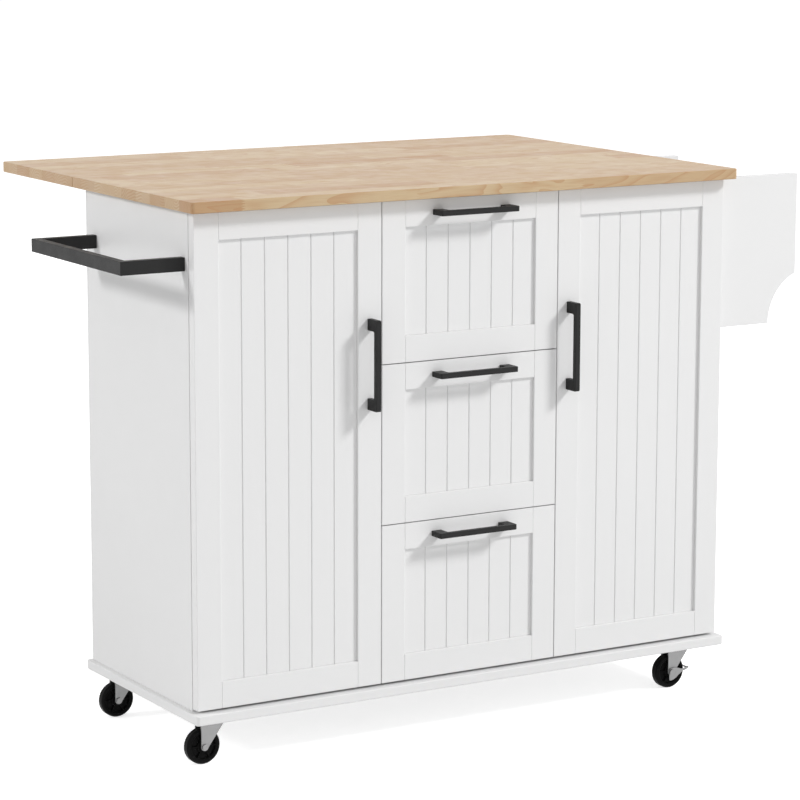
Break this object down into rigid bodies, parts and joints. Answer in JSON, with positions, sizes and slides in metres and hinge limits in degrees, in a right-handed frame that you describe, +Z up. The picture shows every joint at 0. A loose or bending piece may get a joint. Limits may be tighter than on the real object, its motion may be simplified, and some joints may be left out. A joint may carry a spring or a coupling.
{
  "type": "drop leaf kitchen island",
  "caption": "Panelled cabinet on swivel casters with doors, drawers, a wooden worktop with a hinged rear leaf on folding brackets, a towel bar on one side and a rack on the other.",
  "frame": {"origin": "on the floor under the middle of the whole outline, with the leaf up and the doors and drawers shut", "axes": "+X runs from the towel bar to the rack along the cabinet's width, +Y from the doors to the leaf, +Z up"},
  "size_m": [1.31, 0.739, 0.92],
  "materials": {
    "cabinet_white": "satin white paint on fibreboard",
    "front_white": "satin white paint on fibreboard fronts",
    "drawer_board": "white foil on drawer boards",
    "worktop_wood": "clear lacquer on finger-jointed staves of light hardwood",
    "black_metal": "satin black powder coat",
    "zinc_steel": "zinc-plated pressed steel",
    "black_wheel": "black moulded wheel"
  },
  "bodies": {
    "cabinet": {"base_board": "cabinet_white", "left_side": "cabinet_white", "right_side": "cabinet_white", "left_divider": "cabinet_white", "right_divider": "cabinet_white", "top_stretchers": "cabinet_white", "back_panel": "cabinet_white", "mounting_rails": "cabinet_white", "left_shelf": "cabinet_white", "right_shelf": "cabinet_white", "shelf_pins": "zinc_steel", "fixed_top": "worktop_wood", "leaf_hinge_plates": "zinc_steel", "bracket_wall_legs": "black_metal", "hinge_arms": "zinc_steel", "drawer_runners": "zinc_steel", "towel_bar": "black_metal", "rack_front_panel": "cabinet_white", "rack_rear_panel": "cabinet_white", "rack_shelf": "cabinet_white", "rack_guard": "cabinet_white", "rack_rod": "cabinet_white", "caster_plates": "zinc_steel"},
    "leaf": {"drop_leaf": "worktop_wood", "leaf_hinge_flaps": "zinc_steel", "bracket_leaf_legs": "black_metal"},
    "braces": {"bracket_braces": "black_metal"},
    "left_door": {"left_door_frame": "front_white", "left_door_panel": "front_white", "left_door_handle": "black_metal", "left_hinge_cups": "zinc_steel"},
    "right_door": {"right_door_frame": "front_white", "right_door_panel": "front_white", "right_door_handle": "black_metal", "right_hinge_cups": "zinc_steel"},
    "lower_drawer": {"lower_drawer_frame": "front_white", "lower_drawer_panel": "front_white", "lower_drawer_handle": "black_metal", "lower_drawer_box": "drawer_board", "lower_drawer_rails": "zinc_steel"},
    "middle_drawer": {"middle_drawer_frame": "front_white", "middle_drawer_panel": "front_white", "middle_drawer_handle": "black_metal", "middle_drawer_box": "drawer_board", "middle_drawer_rails": "zinc_steel"},
    "upper_drawer": {"upper_drawer_frame": "front_white", "upper_drawer_panel": "front_white", "upper_drawer_handle": "black_metal", "upper_drawer_box": "drawer_board", "upper_drawer_rails": "zinc_steel"},
    "front_left_caster": {"front_left_fork": "zinc_steel"},
    "front_left_roller": {"front_left_wheel": "black_wheel"},
    "front_right_caster": {"front_right_fork": "zinc_steel"},
    "front_right_roller": {"front_right_wheel": "black_wheel"},
    "rear_left_caster": {"rear_left_fork": "zinc_steel"},
    "rear_left_roller": {"rear_left_wheel": "black_wheel"},
    "rear_right_caster": {"rear_right_fork": "zinc_steel"},
    "rear_right_roller": {"rear_right_wheel": "black_wheel"},
    "front_right_lever": {"front_right_brake": "zinc_steel"},
    "rear_right_lever": {"rear_right_brake": "zinc_steel"}
  },
  "joints": [
    {"name": "leaf_hinge", "type": "hinge", "parent": "cabinet", "child": "leaf", "pos_m": [-0.0315, 0.079, 0.8975], "axis": [-1, 0, 0], "range_deg": [0, 90]},
    {"name": "brace_pivot", "type": "hinge", "parent": "cabinet", "child": "braces", "pos_m": [-0.0315, 0.076, 0.8225], "axis": [-1, 0, 0], "range_deg": [0, 113.4]},
    {"name": "left_door_hinge", "type": "hinge", "parent": "cabinet", "child": "left_door", "pos_m": [-0.5365, -0.333, 0.097], "axis": [0, 0, -1], "range_deg": [0, 100]},
    {"name": "right_door_hinge", "type": "hinge", "parent": "cabinet", "child": "right_door", "pos_m": [0.4735, -0.333, 0.097], "axis": [0, 0, 1], "range_deg": [0, 100]},
    {"name": "lower_drawer_slide", "type": "slide", "parent": "cabinet", "child": "lower_drawer", "axis": [0, -1, 0], "range_m": [0, 0.27]},
    {"name": "middle_drawer_slide", "type": "slide", "parent": "cabinet", "child": "middle_drawer", "axis": [0, -1, 0], "range_m": [0, 0.27]},
    {"name": "upper_drawer_slide", "type": "slide", "parent": "cabinet", "child": "upper_drawer", "axis": [0, -1, 0], "range_m": [0, 0.27]},
    {"name": "front_left_swivel", "type": "hinge", "parent": "cabinet", "child": "front_left_caster", "pos_m": [-0.493, -0.3065, 0.071], "axis": [0, 0, 1], "continuous": true},
    {"name": "front_left_roll", "type": "hinge", "parent": "front_left_caster", "child": "front_left_roller", "pos_m": [-0.52, -0.3065, 0.03], "axis": [0, 1, 0], "continuous": true},
    {"name": "front_right_swivel", "type": "hinge", "parent": "cabinet", "child": "front_right_caster", "pos_m": [0.43, -0.3065, 0.071], "axis": [0, 0, 1], "continuous": true},
    {"name": "front_right_roll", "type": "hinge", "parent": "front_right_caster", "child": "front_right_roller", "pos_m": [0.403, -0.3065, 0.03], "axis": [0, 1, 0], "continuous": true},
    {"name": "rear_left_swivel", "type": "hinge", "parent": "cabinet", "child": "rear_left_caster", "pos_m": [-0.493, 0.0145, 0.071], "axis": [0, 0, 1], "continuous": true},
    {"name": "rear_left_roll", "type": "hinge", "parent": "rear_left_caster", "child": "rear_left_roller", "pos_m": [-0.52, 0.0145, 0.03], "axis": [0, 1, 0], "continuous": true},
    {"name": "rear_right_swivel", "type": "hinge", "parent": "cabinet", "child": "rear_right_caster", "pos_m": [0.43, 0.0145, 0.071], "axis": [0, 0, 1], "continuous": true},
    {"name": "rear_right_roll", "type": "hinge", "parent": "rear_right_caster", "child": "rear_right_roller", "pos_m": [0.403, 0.0145, 0.03], "axis": [0, 1, 0], "continuous": true},
    {"name": "front_right_brake_lever", "type": "hinge", "parent": "front_right_caster", "child": "front_right_lever", "pos_m": [0.403, -0.3065, 0.03], "axis": [0, 1, 0], "range_deg": [0, 18]},
    {"name": "rear_right_brake_lever", "type": "hinge", "parent": "rear_right_caster", "child": "rear_right_lever", "pos_m": [0.403, 0.0145, 0.03], "axis": [0, 1, 0], "range_deg": [0, 18]}
  ],
  "couplings": [
    {"joint": "brace_pivot", "follows": "leaf_hinge", "ratio": 1.2545}
  ]
}
